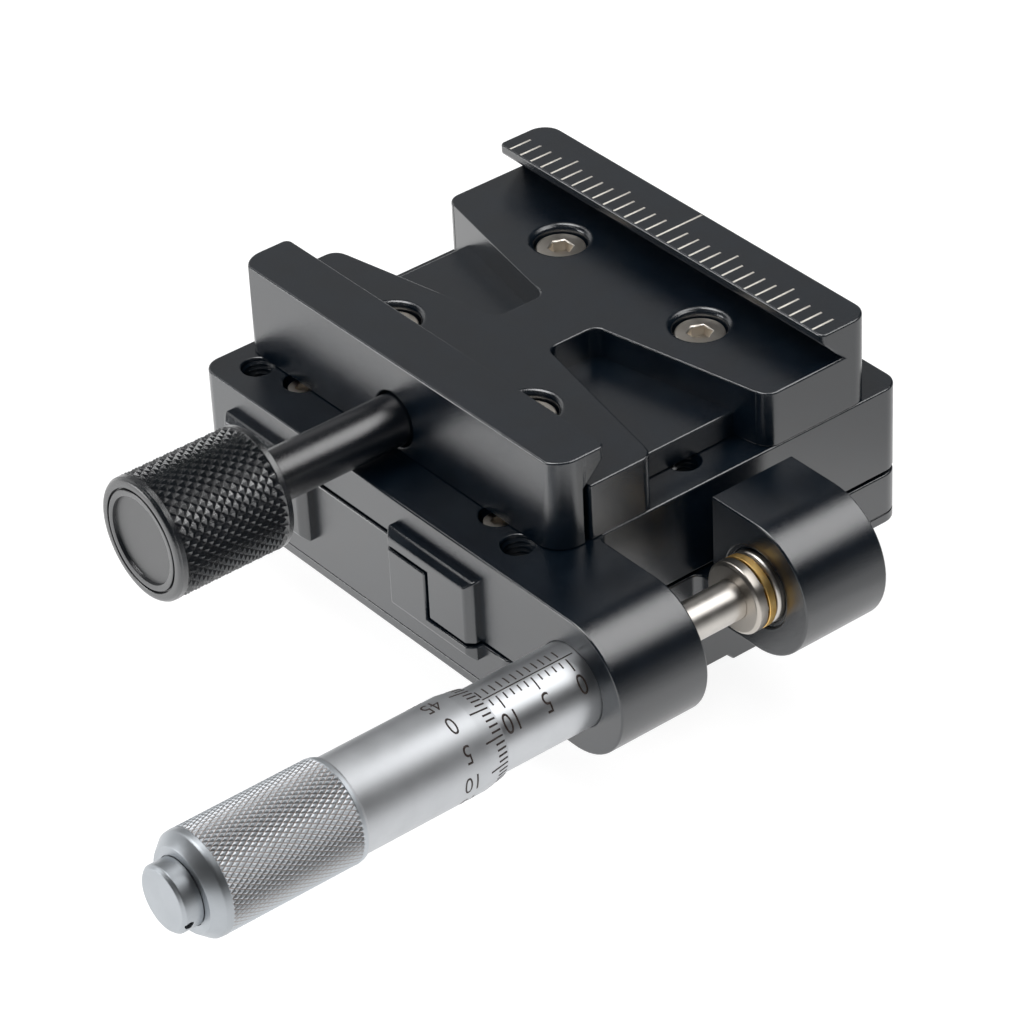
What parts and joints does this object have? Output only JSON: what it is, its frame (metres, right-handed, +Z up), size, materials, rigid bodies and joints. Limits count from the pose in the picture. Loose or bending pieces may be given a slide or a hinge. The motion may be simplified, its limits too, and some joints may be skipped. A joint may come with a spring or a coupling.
{
  "type": "macro focusing rail",
  "caption": "Crossed-roller focusing stage moved by a side micrometer head, with a dovetail clamp and ruler on top and a dovetail foot with a tripod thread below.",
  "frame": {"origin": "centre of the tripod thread at the bottom face of the dovetail foot", "axes": "+Z up out of the clamp, +X along the clamp's jaws and the foot's dovetail, +Y along the table's travel, away from the micrometer thimble and the clamp's knob"},
  "size_m": [0.079, 0.1185, 0.0396],
  "materials": {
    "black_anodised": "bead-blasted, black anodised",
    "plate_anodised": "black anodised",
    "black_steel": "black oxide",
    "hardened_steel": "ground",
    "ground_steel": "ground and polished",
    "stainless_screws": "stainless",
    "satin_chrome": "satin chrome",
    "cage_brass": "turned",
    "knob_black": "black anodised, knurled",
    "knob_disc_grey": "matte"
  },
  "bodies": {
    "base": {"base_block": "black_anodised", "bottom_plate": "plate_anodised", "dovetail_foot": "black_anodised", "foot_screws": "black_steel", "inner_guide_left": "hardened_steel", "inner_guide_right": "hardened_steel", "inner_guide_screws": "stainless_screws", "thrust_washer": "ground_steel"},
    "roller_cages": {"roller_cage_left": "cage_brass", "roller_cage_right": "cage_brass", "rollers_left": "ground_steel", "rollers_right": "ground_steel"},
    "table": {"table_block": "black_anodised", "outer_guide_left": "hardened_steel", "outer_guide_right": "hardened_steel", "outer_guide_screws": "stainless_screws", "micrometer_sleeve": "satin_chrome", "sleeve_nut": "hardened_steel", "sleeve_set_screw": "black_steel", "clamp_plate": "black_anodised", "clamp_plate_screws": "stainless_screws"},
    "spindle_group": {"spindle": "ground_steel", "spindle_collar": "ground_steel", "thimble": "satin_chrome", "thimble_cap": "satin_chrome", "spindle_end_nut": "black_steel"},
    "bearing_cage": {"ball_cage": "cage_brass", "thrust_balls": "ground_steel"},
    "jaw": {"moving_jaw": "black_anodised", "jaw_guide_pins": "ground_steel", "jaw_springs": "hardened_steel"},
    "knob": {"clamping_screw": "hardened_steel", "knob_shank": "knob_black", "clamp_knob": "knob_black", "knob_disc": "knob_disc_grey"}
  },
  "joints": [
    {"name": "table_slide", "type": "slide", "parent": "base", "child": "table", "axis": [0, 1, 0], "range_m": [-0.01, 0.01]},
    {"name": "cage_slide", "type": "slide", "parent": "base", "child": "roller_cages", "axis": [0, 1, 0], "range_m": [-0.005, 0.005]},
    {"name": "thimble_turn", "type": "hinge", "parent": "base", "child": "spindle_group", "pos_m": [0.0402, -0.0435, 0.0188], "axis": [0, 1, 0], "range_deg": [-7200, 7200]},
    {"name": "bearing_turn", "type": "hinge", "parent": "base", "child": "bearing_cage", "pos_m": [0.0402, -0.004, 0.0188], "axis": [0, 1, 0], "range_deg": [-3600, 3600]},
    {"name": "jaw_slide", "type": "slide", "parent": "table", "child": "jaw", "axis": [0, 1, 0], "range_m": [-0.003, 0.0006]},
    {"name": "knob_turn", "type": "hinge", "parent": "jaw", "child": "knob", "pos_m": [0, -0.03, 0.0316], "axis": [0, 1, 0], "range_deg": [-1350, 270]}
  ],
  "couplings": [
    {"joint": "thimble_turn", "follows": "table_slide", "rad_per_m": -12566},
    {"joint": "cage_slide", "follows": "table_slide", "ratio": 0.5},
    {"joint": "bearing_turn", "follows": "table_slide", "rad_per_m": -6283.2},
    {"joint": "knob_turn", "follows": "jaw_slide", "rad_per_m": 7854}
  ]
}
